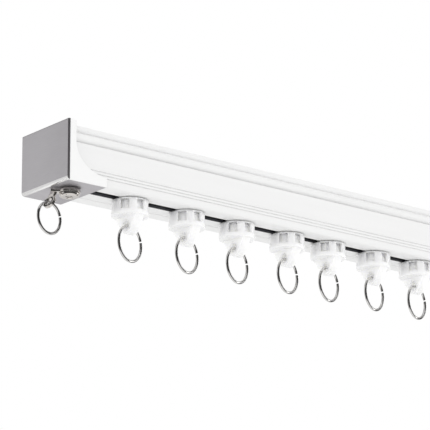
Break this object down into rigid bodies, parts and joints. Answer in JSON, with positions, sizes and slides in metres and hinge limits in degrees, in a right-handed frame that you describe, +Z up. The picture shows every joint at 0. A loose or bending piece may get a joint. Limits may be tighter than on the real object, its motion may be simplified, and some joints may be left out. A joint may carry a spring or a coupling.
{
  "type": "curtain rail",
  "caption": "Straight white curtain rail with metal-faced end caps, wall brackets, wheeled runners carrying open wire rings, and swivelling end hooks.",
  "frame": {"origin": "on the wall face, in the middle of the four wall screw holes of the two brackets", "axes": "+X along the rail to the right as seen from the room, +Y into the wall, +Z up"},
  "size_m": [0.6134, 0.039, 0.0622],
  "materials": {
    "white_paint": "smooth white paint on extruded aluminium",
    "white_moulding": "fine satin moulded white",
    "brushed_cover": "fine brushed nickel",
    "bright_plate": "bright nickel plate",
    "ring_wire": "polished drawn wire",
    "axle_steel": "ground pin",
    "runner_nylon": "natural translucent nylon",
    "wheel_nylon": "natural nylon",
    "bracket_paint": "white powder coat"
  },
  "bodies": {
    "rail": {"rail": "white_paint", "cap_cover_left": "brushed_cover", "cap_body_left": "white_moulding", "hook_screw_left": "bright_plate", "hook_washer_left": "bright_plate", "bracket_left": "bracket_paint", "bracket_rivet_left": "bright_plate", "cap_cover_right": "brushed_cover", "cap_body_right": "white_moulding", "hook_screw_right": "bright_plate", "hook_washer_right": "bright_plate", "bracket_right": "bracket_paint", "bracket_rivet_right": "bright_plate"},
    "hook_arm_left": {"hook_arm_left": "bright_plate"},
    "hook_ring_left": {"hook_ring_left": "ring_wire"},
    "bracket_lever_left": {"bracket_lever_left": "bracket_paint"},
    "hook_arm_right": {"hook_arm_right": "bright_plate"},
    "hook_ring_right": {"hook_ring_right": "ring_wire"},
    "bracket_lever_right": {"bracket_lever_right": "bracket_paint"},
    "runner_1": {"runner_1_body": "runner_nylon", "runner_1_axle": "axle_steel"},
    "runner_wheels_1": {"runner_1_wheels": "wheel_nylon"},
    "runner_ring_1": {"runner_1_ring": "ring_wire"},
    "runner_2": {"runner_2_body": "runner_nylon", "runner_2_axle": "axle_steel"},
    "runner_wheels_2": {"runner_2_wheels": "wheel_nylon"},
    "runner_ring_2": {"runner_2_ring": "ring_wire"},
    "runner_3": {"runner_3_body": "runner_nylon", "runner_3_axle": "axle_steel"},
    "runner_wheels_3": {"runner_3_wheels": "wheel_nylon"},
    "runner_ring_3": {"runner_3_ring": "ring_wire"},
    "runner_4": {"runner_4_body": "runner_nylon", "runner_4_axle": "axle_steel"},
    "runner_wheels_4": {"runner_4_wheels": "wheel_nylon"},
    "runner_ring_4": {"runner_4_ring": "ring_wire"},
    "runner_5": {"runner_5_body": "runner_nylon", "runner_5_axle": "axle_steel"},
    "runner_wheels_5": {"runner_5_wheels": "wheel_nylon"},
    "runner_ring_5": {"runner_5_ring": "ring_wire"},
    "runner_6": {"runner_6_body": "runner_nylon", "runner_6_axle": "axle_steel"},
    "runner_wheels_6": {"runner_6_wheels": "wheel_nylon"},
    "runner_ring_6": {"runner_6_ring": "ring_wire"},
    "runner_7": {"runner_7_body": "runner_nylon", "runner_7_axle": "axle_steel"},
    "runner_wheels_7": {"runner_7_wheels": "wheel_nylon"},
    "runner_ring_7": {"runner_7_ring": "ring_wire"},
    "runner_8": {"runner_8_body": "runner_nylon", "runner_8_axle": "axle_steel"},
    "runner_wheels_8": {"runner_8_wheels": "wheel_nylon"},
    "runner_ring_8": {"runner_8_ring": "ring_wire"},
    "runner_9": {"runner_9_body": "runner_nylon", "runner_9_axle": "axle_steel"},
    "runner_wheels_9": {"runner_9_wheels": "wheel_nylon"},
    "runner_ring_9": {"runner_9_ring": "ring_wire"}
  },
  "joints": [
    {"name": "hook_arm_swivel_left", "type": "hinge", "parent": "rail", "child": "hook_arm_left", "pos_m": [-0.28865, -0.025, -0.01945], "axis": [0, 0, 1], "range_deg": [-90, 90]},
    {"name": "hook_ring_swing_left", "type": "hinge", "parent": "hook_arm_left", "child": "hook_ring_left", "pos_m": [-0.29831, -0.02195, -0.02595], "axis": [0.9823, 0.1874, 0], "range_deg": [-75, 75]},
    {"name": "bracket_lever_turn_left", "type": "hinge", "parent": "rail", "child": "bracket_lever_left", "pos_m": [-0.2, -0.015, 0.0085], "axis": [0, 0, 1], "range_deg": [-90, 0]},
    {"name": "hook_arm_swivel_right", "type": "hinge", "parent": "rail", "child": "hook_arm_right", "pos_m": [0.28865, -0.025, -0.01945], "axis": [0, 0, 1], "range_deg": [-90, 90]},
    {"name": "hook_ring_swing_right", "type": "hinge", "parent": "hook_arm_right", "child": "hook_ring_right", "pos_m": [0.29831, -0.02195, -0.02595], "axis": [0.9823, -0.1874, 0], "range_deg": [-75, 75]},
    {"name": "bracket_lever_turn_right", "type": "hinge", "parent": "rail", "child": "bracket_lever_right", "pos_m": [0.2, -0.015, 0.0085], "axis": [0, 0, 1], "range_deg": [-90, 0]},
    {"name": "runner_slide_1", "type": "slide", "parent": "rail", "child": "runner_1", "axis": [1, 0, 0], "range_m": [-0.015, 0.0173]},
    {"name": "wheels_roll_1", "type": "hinge", "parent": "runner_1", "child": "runner_wheels_1", "pos_m": [-0.2512, -0.025, -0.01185], "axis": [0, 1, 0], "continuous": true},
    {"name": "ring_swing_1", "type": "hinge", "parent": "runner_1", "child": "runner_ring_1", "pos_m": [-0.2512, -0.025, -0.03035], "axis": [0.9659, 0.2588, 0], "range_deg": [-75, 75]},
    {"name": "runner_slide_2", "type": "slide", "parent": "rail", "child": "runner_2", "axis": [1, 0, 0], "range_m": [-0.0173, 0.0143]},
    {"name": "wheels_roll_2", "type": "hinge", "parent": "runner_2", "child": "runner_wheels_2", "pos_m": [-0.2147, -0.025, -0.01185], "axis": [0, 1, 0], "continuous": true},
    {"name": "ring_swing_2", "type": "hinge", "parent": "runner_2", "child": "runner_ring_2", "pos_m": [-0.2147, -0.025, -0.03035], "axis": [0.9659, 0.2588, 0], "range_deg": [-75, 75]},
    {"name": "runner_slide_3", "type": "slide", "parent": "rail", "child": "runner_3", "axis": [1, 0, 0], "range_m": [-0.0143, 0.0156]},
    {"name": "wheels_roll_3", "type": "hinge", "parent": "runner_3", "child": "runner_wheels_3", "pos_m": [-0.1812, -0.025, -0.01185], "axis": [0, 1, 0], "continuous": true},
    {"name": "ring_swing_3", "type": "hinge", "parent": "runner_3", "child": "runner_ring_3", "pos_m": [-0.1812, -0.025, -0.03035], "axis": [0.9659, 0.2588, 0], "range_deg": [-75, 75]},
    {"name": "runner_slide_4", "type": "slide", "parent": "rail", "child": "runner_4", "axis": [1, 0, 0], "range_m": [-0.0156, 0.0102]},
    {"name": "wheels_roll_4", "type": "hinge", "parent": "runner_4", "child": "runner_wheels_4", "pos_m": [-0.1464, -0.025, -0.01185], "axis": [0, 1, 0], "continuous": true},
    {"name": "ring_swing_4", "type": "hinge", "parent": "runner_4", "child": "runner_ring_4", "pos_m": [-0.1464, -0.025, -0.03035], "axis": [0.9659, 0.2588, 0], "range_deg": [-75, 75]},
    {"name": "runner_slide_5", "type": "slide", "parent": "rail", "child": "runner_5", "axis": [1, 0, 0], "range_m": [-0.0102, 0.0143]},
    {"name": "wheels_roll_5", "type": "hinge", "parent": "runner_5", "child": "runner_wheels_5", "pos_m": [-0.117, -0.025, -0.01185], "axis": [0, 1, 0], "continuous": true},
    {"name": "ring_swing_5", "type": "hinge", "parent": "runner_5", "child": "runner_ring_5", "pos_m": [-0.117, -0.025, -0.03035], "axis": [0.9659, 0.2588, 0], "range_deg": [-75, 75]},
    {"name": "runner_slide_6", "type": "slide", "parent": "rail", "child": "runner_6", "axis": [1, 0, 0], "range_m": [-0.0143, 0.0133]},
    {"name": "wheels_roll_6", "type": "hinge", "parent": "runner_6", "child": "runner_wheels_6", "pos_m": [-0.0835, -0.025, -0.01185], "axis": [0, 1, 0], "continuous": true},
    {"name": "ring_swing_6", "type": "hinge", "parent": "runner_6", "child": "runner_ring_6", "pos_m": [-0.0835, -0.025, -0.03035], "axis": [0.9659, 0.2588, 0], "range_deg": [-75, 75]},
    {"name": "runner_slide_7", "type": "slide", "parent": "rail", "child": "runner_7", "axis": [1, 0, 0], "range_m": [-0.0133, 0.0158]},
    {"name": "wheels_roll_7", "type": "hinge", "parent": "runner_7", "child": "runner_wheels_7", "pos_m": [-0.051, -0.025, -0.01185], "axis": [0, 1, 0], "continuous": true},
    {"name": "ring_swing_7", "type": "hinge", "parent": "runner_7", "child": "runner_ring_7", "pos_m": [-0.051, -0.025, -0.03035], "axis": [0.9659, 0.2588, 0], "range_deg": [-75, 75]},
    {"name": "runner_slide_8", "type": "slide", "parent": "rail", "child": "runner_8", "axis": [1, 0, 0], "range_m": [-0.0158, 0.0158]},
    {"name": "wheels_roll_8", "type": "hinge", "parent": "runner_8", "child": "runner_wheels_8", "pos_m": [-0.016, -0.025, -0.01185], "axis": [0, 1, 0], "continuous": true},
    {"name": "ring_swing_8", "type": "hinge", "parent": "runner_8", "child": "runner_ring_8", "pos_m": [-0.016, -0.025, -0.03035], "axis": [0.9659, 0.2588, 0], "range_deg": [-75, 75]},
    {"name": "runner_slide_9", "type": "slide", "parent": "rail", "child": "runner_9", "axis": [1, 0, 0], "range_m": [-0.0158, 0.2472]},
    {"name": "wheels_roll_9", "type": "hinge", "parent": "runner_9", "child": "runner_wheels_9", "pos_m": [0.019, -0.025, -0.01185], "axis": [0, 1, 0], "continuous": true},
    {"name": "ring_swing_9", "type": "hinge", "parent": "runner_9", "child": "runner_ring_9", "pos_m": [0.019, -0.025, -0.03035], "axis": [0.9659, 0.2588, 0], "range_deg": [-75, 75]}
  ],
  "couplings": [
    {"joint": "wheels_roll_1", "follows": "runner_slide_1", "rad_per_m": 256.41},
    {"joint": "wheels_roll_2", "follows": "runner_slide_2", "rad_per_m": 256.41},
    {"joint": "wheels_roll_3", "follows": "runner_slide_3", "rad_per_m": 256.41},
    {"joint": "wheels_roll_4", "follows": "runner_slide_4", "rad_per_m": 256.41},
    {"joint": "wheels_roll_5", "follows": "runner_slide_5", "rad_per_m": 256.41},
    {"joint": "wheels_roll_6", "follows": "runner_slide_6", "rad_per_m": 256.41},
    {"joint": "wheels_roll_7", "follows": "runner_slide_7", "rad_per_m": 256.41},
    {"joint": "wheels_roll_8", "follows": "runner_slide_8", "rad_per_m": 256.41},
    {"joint": "wheels_roll_9", "follows": "runner_slide_9", "rad_per_m": 256.41}
  ]
}
